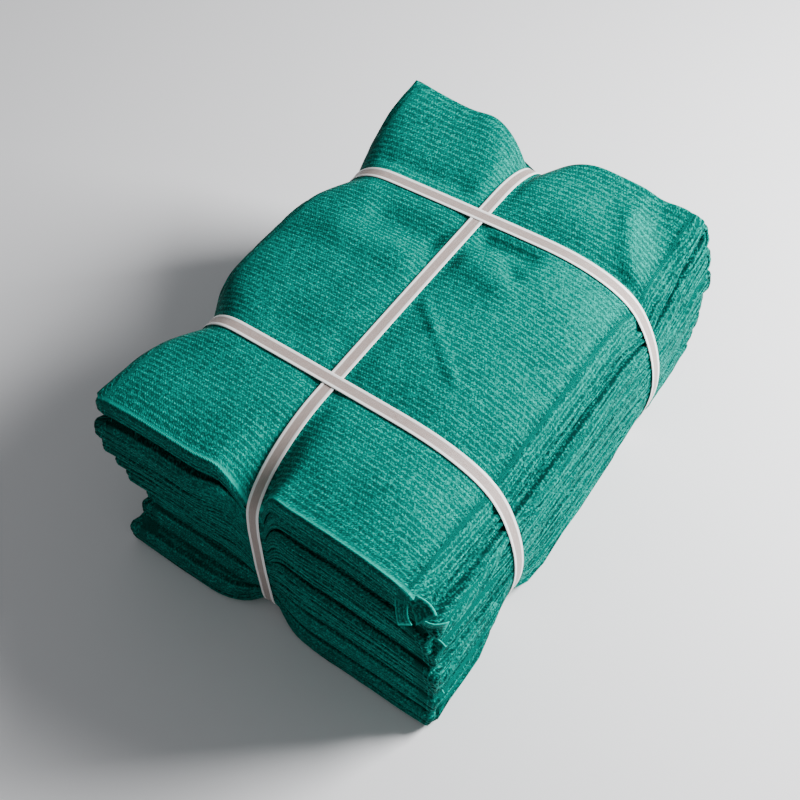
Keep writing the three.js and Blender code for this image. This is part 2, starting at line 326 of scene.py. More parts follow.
def linear(hex_colour):
    """Turns an sRGB hex colour into the linear colour that a shader takes."""
    channels = [int(hex_colour[i:i + 2], 16) / 255 for i in (1, 3, 5)]
    return [c / 12.92 if c <= 0.04045 else ((c + 0.055) / 1.055) ** 2.4 for c in channels] + [1.0]


def wander(places, rng, length, height):
    """A soft uneven line through places: a few sines of about one length, in a seeded mix."""
    total = 0
    for part in WAVE_PARTS:
        period = length * part * rng.uniform(*WAVE_SPREAD)
        total = total + part * np.sin(2 * math.pi * (places / period + rng.uniform()))
    return height * total / WAVE_PEAK


def press(distance, reach):
    """1 under a strap and falling softly to 0 at reach beside it."""
    beside = np.maximum(0, np.abs(distance) - STRAP_WIDTH / 2 - FLAT_BESIDE)
    return np.clip(1 - beside / reach, 0, 1) ** 2


def corner_fall(inset, reach, depth):
    """How far an elliptic corner has fallen at a point inset from the edge."""
    outward = np.clip(1 - inset / reach, 0, 1)
    return depth * (1 - np.sqrt(1 - outward * outward))


def strap_place(strap, x, y):
    """A point's distance from a strap's middle line, its place along it and how far in it lies."""
    aside, place, half = (x, y, LENGTH / 2) if strap["along"] else (y, x, WIDTH / 2)
    return aside - strap["at"], place, half - np.abs(place)


def slant_at(y):
    return np.interp(y, SLANT_PLACES, SLANTS)


def crease_rise(x, y):
    """Height that the listed creases add to the top, fading at their ends."""
    total = 0
    for crease in CREASES:
        start = np.array((crease["x0"], crease["y0"]), float)
        run = np.array((crease["x1"], crease["y1"]), float) - start
        share = ((x - start[0]) * run[0] + (y - start[1]) * run[1]) / (run @ run)
        held = np.clip(share, 0, 1)
        away = np.hypot(x - start[0] - held * run[0], y - start[1] - held * run[1])
        total = total + crease["rise"] * np.exp(-((away / crease["wide"]) ** 2))
    return total


def strap_hold(x, y, reach):
    """1 on a strap's line and 0 away from every strap."""
    free = 1
    for strap in STRAPS.values():
        aside, _, _ = strap_place(strap, x, y)
        free = free * (1 - press(aside, reach))
    return 1 - free


def top_height(x, y):
    reach, depth = (np.where(x < 0, a, b) for a, b in zip(SHOULDERS["left"], SHOULDERS["right"]))
    shoulder = corner_fall(WIDTH / 2 - np.abs(x), reach, depth)
    squares = (np.interp(y, SHOULDER_PLACES, SHOULDER_SHARES) * shoulder) ** 2
    for strap in STRAPS.values():
        aside, place, inset = strap_place(strap, x, y)
        reach, depth, pull = (np.where(place < 0, a, b) for a, b in zip(strap["low"], strap["high"]))
        fall = press(aside, pull) * corner_fall(inset, reach, depth)
        squares = squares + (fall + press(aside, DENT_REACH) * strap["dent"]) ** 2
    crown = CROWN * ((2 * x / WIDTH) ** 2 + (2 * y / LENGTH) ** 2) / 2
    corner = np.hypot(x + WIDTH / 2, y - LENGTH / 2)
    lift = LIFT["height"] * np.clip(1 - corner / LIFT["reach"], 0, 1) ** 2
    creases = crease_rise(x, y) * (1 - strap_hold(x, y, CREASE_REACH))
    return HEIGHT - crown + lift - np.sqrt(squares) + creases


def bottom_height(x, y):
    squares = 0
    for strap in STRAPS.values():
        aside, _, inset = strap_place(strap, x, y)
        reach, depth, pull = strap["under"]
        fall = press(aside, pull) * corner_fall(inset, reach, depth)
        squares = squares + (fall + press(aside, GROOVE_REACH) * strap["groove"]) ** 2
    return np.sqrt(squares)


def shape(x, y, share, layer):
    """Carries points of the plain block to their places in the bale."""
    near, far, length = STRAPS["strap_near"], STRAPS["strap_far"], STRAPS["strap_length"]
    belly = 4 * share * (1 - share)
    across = np.clip((np.abs(x) - SIDE_START) / (WIDTH / 2 - SIDE_START), 0, 1) ** 2
    along = np.clip((np.abs(y) - END_START) / (LENGTH / 2 - END_START), 0, 1) ** 2
    free_across = (1 - press(y - near["at"], EDGE_REACH)) * (1 - press(y - far["at"], EDGE_REACH))
    held = press(x - length["at"], EDGE_REACH)
    end = np.clip(y / LENGTH + 0.5, 0, 1)
    left_edge = layer["left_near"] * (1 - end) + layer["left_far"] * end
    right_edge = layer["right_near"] * (1 - end) + layer["right_far"] * end
    left = BELLY["left"] * belly + free_across * left_edge
    right = BELLY["right"] * belly + free_across * right_edge
    near_edge = np.where(x < length["at"], layer["near_left"], layer["near_right"])
    far_edge = np.where(x < length["at"], layer["far_left"], layer["far_right"])
    near_out = BELLY["near"] * belly + (1 - held) * near_edge - held * length["tuck"]
    far_out = BELLY["far"] * belly + (1 - held) * far_edge
    floor = bottom_height(x, y)
    moved_x = x + across * np.where(x < 0, -left, right)
    moved_y = y + along * np.where(y < 0, -near_out, far_out)
    return np.stack([
        moved_x - MIDDLE[0],
        moved_y + slant_at(y) * moved_x - MIDDLE[1],
        floor + share * (top_height(x, y) - floor),
    ], axis=-1)


def section_stations():
    """The net's back-and-forth section: one station for each row of the mesh, in order along the
    cloth. Each has the place and height of its two faces, the boundaries that they lie on, its layer
    row and how many columns go by from one of the mesh's to the next on each face."""
    stations = []
    last = len(LAYERS) - 1
    low = 0.0
    top_rows = np.arange(-FOLD_START, FOLD_START, RIB_PITCH / STATIONS_PER_RIB)
    for index, layer in enumerate(LAYERS):
        toward_near = index % 2 == 0
        high = low + layer["thick"]
        rows = {last - 1: top_rows[::2], last: top_rows}.get(index, PASS_ROWS)
        steps = {0: (FOLD_STEP, HIDDEN_STEP), last: (1, HIDDEN_STEP)}.get(index, (HIDDEN_STEP, HIDDEN_STEP))
        for place in (reversed(rows) if toward_near else rows):
            faces = [(place, low, index, index, 0.0), (place, high, index + 1, index + 1, 1.0)]
            stations.append({
                "faces": faces if toward_near else faces[::-1],
                "layer": layer, "lower": index, "turn": None, "steps": steps,
            })
        if index < last:
            stations.extend(fold_stations(index, low, high, toward_near))
        low = high + LAYER_GAP
    return stations, low - LAYER_GAP


def fold_stations(index, low, high, at_near):
    """The turn of the cloth from one layer to the next one up, with rows on each of its plies."""
    layer, above = LAYERS[index], LAYERS[index + 1]
    mixed = {column: (layer[column] + above[column]) / 2 for column in LAYER_COLUMNS}
    outer_rise = (high + LAYER_GAP + above["thick"] - low) / 2
    inner_rise = LAYER_GAP / 2
    way = -1 if at_near else 1
    rows = [(ply, share) for ply in range(FOLD_PLIES) for share in PLY_SHARES][1:]
    made = []
    for ply, share in rows + [(FOLD_PLIES - 1, CREST_SHARE)]:
        height = (ply + share) / FOLD_PLIES
        sine = 2 * height - 1
        out = (1 - abs(sine) ** FOLD_SQUARE) ** (1 / FOLD_SQUARE)
        outer = (
            way * (FOLD_START + FOLD_BULGE * outer_rise * out), low + outer_rise * (1 + sine),
            index, index + 2, height,
        )
        inner = (
            way * (FOLD_START + inner_rise * math.sqrt(1 - sine * sine)), high + inner_rise * (1 + sine),
            index + 1, index + 1, 1 - height,
        )
        made.append({
            "faces": [outer, inner] if at_near else [inner, outer],
            "layer": mixed, "lower": index,
            "turn": {"ply": ply, "share": share, "out": out, "way": way, "outer": 0 if at_near else 1},
            "steps": (FOLD_STEP, HIDDEN_STEP) if at_near else (HIDDEN_STEP, FOLD_STEP),
        })
    return made


def ply_nose(share):
    """How far a ply's edge falls back beside its own middle: 0 on the nose and 1 in the groove."""
    return np.abs(2 * share - 1) ** NOSE_POWER


def groove_sizes(side, rng):
    """Depth and near and far opening of the groove at every boundary between passes on one side."""
    count = len(LAYERS) + 1
    sizes = np.zeros((count, 3))
    sizes[:, 0] = rng.uniform(*USUAL_GROOVE, count)
    for groove in GROOVES:
        if groove["side"] == side:
            sizes[groove["boundary"]] = groove["depth"], groove["near"], groove["far"]
    return sizes


def net_ring():
    """The places round the cloth: across one face, round the right edge, back across the other face
    and round the left edge. across is a share of the half width, face a share of the way from the
    first face to the second, ply a ply of the edge or -1 on a face, and part a place in that ply."""
    across = np.linspace(-1, 1, COLUMN_COUNT)
    rows = [((ply + part) / EDGE_PLIES, ply, part) for ply in range(EDGE_PLIES) for part in PLY_SHARES]
    share, ply, part = np.array(rows[1:], float).T
    ones = np.ones(COLUMN_COUNT)
    edge = np.ones(EDGE_COUNT)
    return {
        "across": np.concatenate([across, edge, across[::-1], -edge]),
        "face": np.concatenate([0 * ones, share, ones, share[::-1]]),
        "ply": np.concatenate([-ones, ply, -ones, ply[::-1]]),
        "part": np.concatenate([0 * ones, part, 0 * ones, part[::-1]]),
    }


def from_faces(values, ring):
    """Values on the cloth's two faces, carried round it from one to the other."""
    return values[:, 0, None] * (1 - ring["face"]) + values[:, 1, None] * ring["face"]


def cut_grooves(faces, x, place, height, ring, rng):
    """Draws the cloth in at the grooves between its passes and moves their lips apart. Returns the new
    places across it and heights, and how deep in a groove each point is."""
    groove = np.zeros_like(x)
    on_face = ring["ply"] < 0
    near_first, near_second = (1 - ring["face"]) ** GROOVE_NARROWS, ring["face"] ** GROOVE_NARROWS
    end = np.clip(place / LENGTH + 0.5, 0, 1)
    down, up, share = faces[:, :, 2].astype(int), faces[:, :, 3].astype(int), faces[:, :, 4]
    for way, name in ((1, "right"), (-1, "left")):
        sizes = groove_sizes(name, rng)
        on_side = ring["across"] * way > 0
        depth = sizes[down, 0] * (1 - share) + sizes[up, 0] * share
        round_edge = near_first * depth[:, :1] + near_second * depth[:, 1:]
        inset = np.where(on_face, np.abs(ring["across"]) * from_faces(depth, ring), round_edge)
        x = np.where(on_side, x - way * inset, x)
        lip = np.clip((np.abs(x) - WIDTH / 2 + LIP_REACH) / LIP_REACH, 0, 1) ** 2 * on_side
        for column, weight in ((1, 1 - end), (2, end)):
            lift = sizes[down, column] * (1 - share) - sizes[up, column] * share
            height = height + from_faces(lift, ring) * lip * weight
        # The groove mark is painted shade: the material darkens the cloth down in a groove
        groove = np.maximum(groove, np.where(on_side & ~on_face, round_edge / DARK_GROOVE, 0))
    return x, height, groove


def netting_rings():
    """Every station's points round the cloth, with marks from 0 to 1 for the material: how deep in a
    groove each of them is, which the material paints as shade, whether it is on the top fold's crest,
    which it paints as a highlight, and how far on a long edge it is, which it paints a little darker."""
    rng = np.random.default_rng(SEED)
    ring = net_ring()
    stations, total = section_stations()
    faces = np.array([s["faces"] for s in stations], float)
    plain_x = np.repeat(WIDTH / 2 * ring["across"][None, :], len(stations), 0)
    plain_place = from_faces(faces[:, :, 0], ring)
    place = plain_place.copy()
    x, height, groove = cut_grooves(faces, plain_x, place, from_faces(faces[:, :, 1], ring), ring, rng)
    on_top = np.array([s["lower"] == len(LAYERS) - 1 for s in stations])
    columns_out = (ring["across"] - HEM_SHARE) * COLUMN_COUNT / 2
    hem = np.outer(on_top, np.exp(-columns_out ** 2) * (ring["ply"] < 0))
    # The hem line adds painted shade to the groove mark
    groove = np.maximum(groove, HEM_DARK * hem)
    add_edge_plies(x, groove, place, ring, stations, rng)
    crease = add_fold_plies(place, groove, ring, stations)
    layer = {
        column: np.array([s["layer"][column] for s in stations], float)[:, None] for column in LAYER_COLUMNS
    }
    points = shape(plain_x, plain_place, height / total, layer)
    points += np.stack([x - plain_x, place - plain_place, -HEM_DEPTH * hem], axis=-1)
    # The long edges are marked so that the material paints them a little darker, as shade
    long_edge = np.clip((np.abs(ring["across"]) - HEM_SHARE) * COLUMN_COUNT / 2, 0, 1)
    marks = {
        "groove": np.clip(groove, 0, 1), "crease": crease,
        "long_edge": np.repeat(long_edge[None, :], len(stations), 0),
    }
    return points, marks, ring, stations


def ply_edge(kind, places, part, held, rng):
    """How far a ply's edge stands out at places along it, and how deep in its groove a part of its
    height is. held is how much a strap presses it there."""
    out = sum(wander(places, rng, *wave) for wave in kind["waves"]) * kind["wave_share"]
    groove = ply_nose(part) * rng.uniform(*kind["grooves"]) * kind["groove_share"]
    return (out - PLY_GROOVE * groove) * (1 - PLY_HELD * held), groove


def add_edge_plies(x, groove, place, ring, stations, rng):
    """Lets each ply of a long edge stand out by its own wandering amount, with a groove beside it."""
    passes = np.array([s["lower"] for s in stations])
    for way in (-1, 1):
        for index in range(len(LAYERS)):
            for ply in range(EDGE_PLIES):
                points = (ring["ply"] == ply) & (ring["across"] * way > 0)
                block = np.ix_(passes == index, points)
                held = strap_hold(OFF_STRAPS, place[block], PLY_REACH)
                out, beside = ply_edge(LONG_EDGE, place[block], ring["part"][points], held, rng)
                x[block] += way * out
                # The groove beside each ply is painted shade too
                groove[block] = np.maximum(groove[block], beside)


def add_fold_plies(place, groove, ring, stations):
    """Does the same for the plies of each fold, and returns a mark on the crest of the top one, where the
    material paints a highlight.
    """
    crest = np.zeros_like(place)
    x = ring["across"] * WIDTH / 2
    held = strap_hold(x, OFF_STRAPS, PLY_REACH)
    for row, station in enumerate(stations):
        turn = station["turn"]
        if turn is None:
            continue
        on_top = station["lower"] == len(LAYERS) - 2
        local = np.random.default_rng([SEED, station["lower"], turn["ply"]])
        out, beside = ply_edge(TOP_FOLD if on_top else FOLD, x, turn["share"], held, local)
        # The crest's mark is a painted highlight
        crest[row] = on_top and turn["share"] == CREST_SHARE
        outer = 1 - np.abs(ring["face"] - turn["outer"])
        place[row] += turn["way"] * out * turn["out"] * outer
        # The groove beside a fold's ply is painted shade as well
        groove[row] = np.maximum(groove[row], beside * outer)
    return crest


def cloth_lengths(stations):
    """How far along the cloth each station is, measured on the outside of its folds."""
    places = np.array([[face[:2] for face in s["faces"]] for s in stations])
    steps = np.linalg.norm(np.diff(places, axis=0), axis=2).max(axis=1)
    return np.concatenate([[0], np.cumsum(steps)])


def kept_places(station):
    """The places round the cloth at which a station has points."""
    first, second = station["steps"]
    return [
        *range(0, COLUMN_COUNT, first), *range(COLUMN_COUNT, BACK),
        *range(BACK, BACK + COLUMN_COUNT, second), *range(BACK + COLUMN_COUNT, RING_COUNT),
    ]


def strip_faces(row, here, there):
    """Faces from one station to the next, where either may have fewer places round the cloth."""
    here, there = here + [RING_COUNT], there + [RING_COUNT]
    corners = sorted(set(here) & set(there))
    first, second = here.index, there.index
    faces = []
    for start, end in zip(corners, corners[1:]):
        ahead = [(row, place) for place in here[first(start):first(end) + 1]]
        back = [(row + 1, place) for place in there[second(start):second(end) + 1]]
        faces.append(ahead + back[::-1])
    return faces


def end_faces(row, kept, is_last):
    """Faces that close the cloth's cut end: between its two faces, and at its two edges."""
    back_end = BACK + COLUMN_COUNT - 1
    faces = []
    for start in range(0, COLUMN_COUNT - 1, HIDDEN_STEP * 2):
        end = start + HIDDEN_STEP * 2
        ahead = [place for place in kept if start <= place <= end]
        faces.append(ahead + [place for place in kept if back_end - end <= place <= back_end - start])
    faces.append([place for place in kept if COLUMN_COUNT - 1 <= place <= BACK])
    faces.append([place for place in kept if place >= back_end] + [0])
    return [[(row, place) for place in (face if is_last else face[::-1])] for face in faces]


def build_mesh(name, points, faces):
    mesh = bpy.data.meshes.new(name)
    mesh.from_pydata((np.asarray(points) * MM).tolist(), [], faces)
    mesh.validate()
    mesh.polygons.foreach_set("use_smooth", [True] * len(mesh.polygons))
    mesh.update()
    piece = bpy.data.objects.new(name, mesh)
    bpy.context.scene.collection.objects.link(piece)
    return piece


def flap_sheet(flap):
    """One loose corner as a closed sheet: its points and faces, each point's place on the flat cloth,
    and a mark on the points of its rim, where the material paints a highlight."""
    root_low, root_high, tip_low, tip_high = (np.array(flap[name], float) for name in FLAP_COLUMNS[:4])
    out, up = np.meshgrid(np.linspace(0, 1, FLAP_STEPS), np.linspace(0, 1, FLAP_STEPS), indexing="ij")
    out, up = out[..., None], up[..., None]
    middle = (root_low * (1 - up) + root_high * up) * (1 - out) + (tip_low * (1 - up) + tip_high * up) * out
    facing = np.cross(tip_high - root_low, root_high - tip_low)
    facing /= np.linalg.norm(facing)
    middle = middle + facing * flap["bend"] * np.sin(math.pi * out) * (0.5 + up)
    first, second = middle - facing * FLAP_THICK / 2, middle + facing * FLAP_THICK / 2
    points = np.concatenate([first.reshape(-1, 3), second.reshape(-1, 3)])
    count = FLAP_STEPS * FLAP_STEPS
    number = np.arange(count).reshape(FLAP_STEPS, FLAP_STEPS)
    cells = [
        (number[i, j], number[i + 1, j], number[i + 1, j + 1], number[i, j + 1])
        for i in range(FLAP_STEPS - 1) for j in range(FLAP_STEPS - 1)
    ]
    rim = [*number[:, 0], *number[-1, 1:], *number[-2::-1, -1], *number[0, -2:0:-1]]
    sides = [(a, a + count, b + count, b) for a, b in zip(rim, rim[1:] + rim[:1])]
    faces = [face[::-1] for face in cells] + [tuple(i + count for i in face) for face in cells]
    faces += [side[::-1] for side in sides]
    faces = [[int(i) for i in face] for face in faces]
    size = np.linalg.norm(tip_low - root_low), np.linalg.norm(root_high - root_low)
    flat = np.stack([out[..., 0].ravel() * size[0], up[..., 0].ravel() * size[1]], axis=1)
    flat = np.concatenate([flat, flat])
    edge = np.zeros(count)
    edge[rim] = 1
    return points, faces, flat, np.concatenate([edge, edge])


def cloth_map(points, ring, stations, strips, ends):
    """Each face corner's place on the flat cloth: round it, with the same value in the middle of its
    first face everywhere, and along it. A cut end has its own map, across it and over its height."""
    steps = np.linalg.norm(np.diff(points, axis=1, append=points[:, :1]), axis=2)
    round_cloth = np.concatenate([np.zeros((len(points), 1)), np.cumsum(steps, axis=1)], axis=1)
    round_cloth += WIDTH - round_cloth[:, COLUMN_COUNT // 2, None]
    along = cloth_lengths(stations)
    across = (1 + np.append(ring["across"], ring["across"][0])) * WIDTH / 2
    height = np.append(ring["face"], ring["face"][0]) * CUT_END_ROWS
    corners = [(round_cloth[row, place], along[row]) for face in strips for row, place in face]
    return corners + [(across[place], height[place]) for face in ends for _, place in face]


def netting_mesh():
    points, marks, ring, stations = netting_rings()
    rows = len(stations)
    kept = [kept_places(station) for station in stations]
    strips = []
    for row in range(rows - 1):
        strips += strip_faces(row, kept[row], kept[row + 1])
    ends = end_faces(0, kept[0], False) + end_faces(rows - 1, kept[-1], True)
    corners = cloth_map(points, ring, stations, strips, ends)

    number = np.full((rows, RING_COUNT), -1)
    used = [(row, place) for row in range(rows) for place in kept[row]]
    where = tuple(np.array(used).T)
    number[where] = np.arange(len(used))
    faces = [[int(number[row, place % RING_COUNT]) for row, place in face] for face in strips + ends]
    places = points[where]
    marks = {name: values[where] for name, values in marks.items()}
    for flap in FLAPS:
        flap_points, flap_faces, flat, rim = flap_sheet(flap)
        faces += [[len(places) + i for i in face] for face in flap_faces]
        corners += [tuple(flat[i]) for face in flap_faces for i in face]
        places = np.concatenate([places, flap_points])
        for name in marks:
            # A flap's rim takes the crease mark, a painted highlight
            marks[name] = np.concatenate([marks[name], rim if name == "crease" else 0 * rim])

    piece = build_mesh("folded_net", places, faces)
    piece.data.uv_layers.new(name="cloth").data.foreach_set("uv", (np.array(corners) * MM).ravel())
    for name, values in marks.items():
        piece.data.attributes.new(name, "FLOAT", "POINT").data.foreach_set("value", values)
    return piece


def add_node(tree, kind, inputs=(), **settings):
    """Adds a node with its settings, and fills its inputs, by name or in order, with values or with
    links from a socket or from a node's first output."""
    node = tree.nodes.new(kind)
    for name, value in settings.items():
        setattr(node, name, value)
    for key, value in inputs.items() if isinstance(inputs, dict) else enumerate(inputs):
        value = value.outputs[0] if isinstance(value, bpy.types.Node) else value
        if isinstance(value, bpy.types.NodeSocket):
            tree.links.new(value, node.inputs[key])
        else:
            node.inputs[key].default_value = value
    return node


def new_material(name):
    material = bpy.data.materials.new(name)
    material.use_nodes = True
    material.node_tree.nodes.clear()
    return material, material.node_tree


def wave(tree, distance, pitch, sharpness):
    """A row of soft peaks from 0 to 1, one at each pitch, narrower as the sharpness grows."""
    phase = add_node(tree, "ShaderNodeMath", (distance, math.pi / pitch), operation="MULTIPLY")
    cosine = add_node(tree, "ShaderNodeMath", (phase,), operation="COSINE")
    peaks = add_node(tree, "ShaderNodeMath", (cosine,), operation="ABSOLUTE")
    return add_node(tree, "ShaderNodeMath", (peaks, sharpness), operation="POWER")


def weighted(tree, parts, weights, total):
    """A first value, and on top of it each part of a pattern that has a weight, times that weight."""
    for name, weight in weights.items():
        total = add_node(tree, "ShaderNodeMath", (parts[name], weight, total), operation="MULTIPLY_ADD")
    return total


def blended(tree, first, second, share):
    """The first value where the share is 0, turning to the second where it is 1."""
    change = add_node(tree, "ShaderNodeMath", (second, first), operation="SUBTRACT")
    return add_node(tree, "ShaderNodeMath", (share, change, first), operation="MULTIPLY_ADD")


def knitted_polyethylene(sizes):
    """Knitted polyethylene tape: fine chain-stitched ribs with flat, glossy tapes between them, on which
    small specks are painted bright as glints. Shade is painted down in the grooves and on the long edges,
    and a highlight on the top fold's crest and the flaps' rims. So many fine tapes throw back little
    white light at a low angle. The ribs have their real pitch, the specks are drawn a little coarser
    than real, and on a long edge the rows follow the plies."""
    material, tree = new_material("knitted_polyethylene")
    add = partial(add_node, tree)
    marks = {
        name: add("ShaderNodeAttribute", attribute_name=name).outputs["Fac"]
        for name in ("groove", "crease", "long_edge")
    }
    on_edge = marks["long_edge"]
    uv = add("ShaderNodeUVMap", uv_map="cloth")
    u, v = add("ShaderNodeSeparateXYZ", (uv,)).outputs[:2]
    uneven = add("ShaderNodeTexNoise", {"Vector": uv, "Scale": WAVER_SCALE, "Detail": 2.0, "Roughness": 0.5})
    cloud = add("ShaderNodeTexNoise", {"Vector": uv, "Scale": CLOUD_SCALE, "Detail": 3.0, "Roughness": 0.6})
    rib_rows = add("ShaderNodeMath", (uneven, WAVER * MM, v), operation="MULTIPLY_ADD")
    ply_scaled = add("ShaderNodeMath", (u, sizes.rib_pitch / sizes.ply_pitch), operation="MULTIPLY")
    ply_rows = add("ShaderNodeMath", (uneven, WAVER * MM, ply_scaled), operation="MULTIPLY_ADD")
    run = blended(tree, rib_rows, ply_rows, on_edge)
    cross = blended(tree, u, v, on_edge)

    rib = wave(tree, run, sizes.rib_pitch, RIB_SHARPNESS)
    stitch = wave(tree, cross, sizes.stitch_pitch, STITCH_SHARPNESS)
    half_stitch = add("ShaderNodeMath", (stitch, 0.5, 0.5), operation="MULTIPLY_ADD")
    lean = add("ShaderNodeMath", (run, sizes.rib_pitch / 2), operation="PINGPONG")
    leaning = add("ShaderNodeMath", (lean, TAPE_LEAN, cross), operation="MULTIPLY_ADD")
    edge_run = add("ShaderNodeMath", (run, EDGE_SPECK), operation="MULTIPLY")
    speck_run = blended(tree, run, edge_run, on_edge)
    cells = add("ShaderNodeCombineXYZ", (
        add("ShaderNodeMath", (cross, sizes.speck_length), operation="DIVIDE"),
        add("ShaderNodeMath", (speck_run, sizes.speck_width), operation="DIVIDE"),
    ))
    spots = add("ShaderNodeTexVoronoi", {"Vector": cells, "Scale": 1.0}, feature="F1")
    speck = add("ShaderNodeSeparateXYZ", (spots.outputs["Color"],))
    parts = {
        **marks,
        "rib": add("ShaderNodeMath", (rib, half_stitch), operation="MULTIPLY"),
        "tape": wave(tree, leaning, sizes.stitch_pitch, TAPE_SHARPNESS),
        "speck": speck,
        # The brightest spots of the specks are painted glints
        "bright": add("ShaderNodeMath", (speck, SPECK_SHARPNESS), operation="POWER"),
        "cloud": add("ShaderNodeMath", (cloud, 0.5), operation="SUBTRACT"),
    }

    ramp = add("ShaderNodeValToRGB", (weighted(tree, parts, KNIT_SHADE, KNIT_LEAST),))
    stops = ramp.color_ramp.elements
    stops[0].position, stops[0].color = 0.0, sizes.gap_colour
    stops[1].position, stops[1].color = 1.0, sizes.thread_colour
    stops.new(TAPE_STOP).color = sizes.tape_colour
    height = weighted(tree, parts, KNIT_HEIGHT, 0.0)
    bump = add("ShaderNodeBump", {"Strength": 0.7, "Distance": sizes.knit_depth, "Height": height})
    shader = add("ShaderNodeBsdfPrincipled", {
        "Base Color": ramp,
        "Roughness": weighted(tree, parts, KNIT_GLOSS, KNIT_ROUGHNESS),
        "Normal": bump,
        "IOR": 1.5,
        "Specular IOR Level": 0.02,
        "Specular Tint": sizes.gloss_colour,
    })
    add("ShaderNodeOutputMaterial", (shader,))
    return material


def embossed_polypropylene(sizes):
    """Polypropylene strapping: extruded, milky off-white, with a rolled lozenge grip between two
    smooth edges. The grip's recessed middle is painted darker, as shade."""
    material, tree = new_material("embossed_polypropylene")
    add = partial(add_node, tree)
    along, across = (
        add("ShaderNodeAttribute", attribute_name=name).outputs["Fac"] for name in ("along", "across")
    )
    lozenges = []
    for operation in ("ADD", "SUBTRACT"):
        slanted = add("ShaderNodeMath", (along, across), operation=operation)
        turned = add("ShaderNodeMath", (slanted, 2 * math.pi / sizes.grip_pitch), operation="MULTIPLY")
        lozenges.append(add("ShaderNodeMath", (turned,), operation="COSINE"))
    grip = add("ShaderNodeMath", lozenges, operation="MULTIPLY")
    from_middle = add("ShaderNodeMath", (across,), operation="ABSOLUTE")
    off_middle = add("ShaderNodeMath", (from_middle, sizes.width / 2), operation="DIVIDE")
    centre = add(
        "ShaderNodeMapRange", (off_middle, *GRIP_FADES, 1.0, 0.0), interpolation_type="SMOOTHSTEP",
    )
    cloudy = add("ShaderNodeTexNoise", {"Scale": MILK_SCALE, "Detail": 2.0})
    milky = add("ShaderNodeMath", (cloudy, MILK_CHANGE, MILK_LEAST), operation="MULTIPLY_ADD")
    # The middle is mixed towards the centre colour: painted shade in the recess, made cloudy by the milk
    # noise
    colour = add("ShaderNodeMix", {
        0: add("ShaderNodeMath", (centre, milky), operation="MULTIPLY"),
        6: sizes.edge_colour, 7: sizes.centre_colour,
    }, data_type="RGBA")
    relief = add("ShaderNodeMath", (grip, centre), operation="MULTIPLY")
    bump = add("ShaderNodeBump", {"Strength": 0.5, "Distance": GRIP_DEPTH * MM, "Height": relief})
    shader = add("ShaderNodeBsdfPrincipled", {
        "Base Color": colour.outputs[2],
        "Roughness": 0.38,
        "IOR": 1.49,
        "Subsurface Weight": 0.12,
        "Subsurface Radius": (0.002, 0.0016, 0.0014),
        "Normal": bump,
    })
    add("ShaderNodeOutputMaterial", (shader,))
    return material


def strap_route(name, net):
    """The middle line of a strap's loop, drawn tight round the part of the net that it holds."""
    strap = STRAPS[name]
    reach = STRAP_WIDTH / 2 + STRAP_MARGIN
    held = []
    for vertex in net.data.vertices:
        x, y, z = vertex.co / MM
        middle = strap["at"] - MIDDLE[0] if strap["along"] else place_on_strap(strap, x, 0)[1]
        if abs((x if strap["along"] else y) - middle) < reach:
            held.append((round(y if strap["along"] else x, 2), round(z, 2)))
    outline = widened(tight_loop(sorted(set(held))), STRAP_LIFT + STRAP_THICK / 2)
    return [place_on_strap(strap, *point) for point in evened(outline)]


def tight_loop(points):
    """The shortest loop round a sorted set of points."""
    def chain(ordered):
        kept = []
        for p in ordered:
            while len(kept) > 1 and turned(kept[-2], kept[-1], p) < STRAIGHT:
                kept.pop()
            kept.append(p)
        return kept[:-1]

    def turned(a, b, c):
        return (b[0] - a[0]) * (c[1] - a[1]) - (b[1] - a[1]) * (c[0] - a[0])

    return chain(points) + chain(points[::-1])


def widened(loop, distance):
    """A loop moved outwards by a distance, corner by corner."""
    moved = []
    for index, point in enumerate(loop):
        here = Vector(point)
        inward = (here - Vector(loop[index - 1])).normalized()
        outward = (Vector(loop[(index + 1) % len(loop)]) - here).normalized()
        bisector = (inward + outward).normalized()
        normal = Vector((bisector.y, -bisector.x))
        moved.append(here + normal * distance / bisector.dot(outward))
    return moved


def evened(loop):
    """A loop with even steps and soft bends."""
    points = np.array([tuple(point) for point in [*loop, loop[0]]])
    so_far = np.concatenate([[0], np.cumsum(np.linalg.norm(np.diff(points, axis=0), axis=1))])
    steps = np.linspace(0, so_far[-1], round(so_far[-1] / LOOP_STEP), endpoint=False)
    even = np.stack([np.interp(steps, so_far, points[:, axis]) for axis in (0, 1)], axis=1)
    for _ in range(LOOP_ROUNDS):
        even = (np.roll(even, 1, axis=0) + 2 * even + np.roll(even, -1, axis=0)) / 4
    return even


def place_on_strap(strap, a, z):
    if strap["along"]:
        return (strap["at"] - MIDDLE[0], a, z)
    return (a, strap["at"] + slant_at(strap["at"]) * (a + MIDDLE[0]) - MIDDLE[1], z)


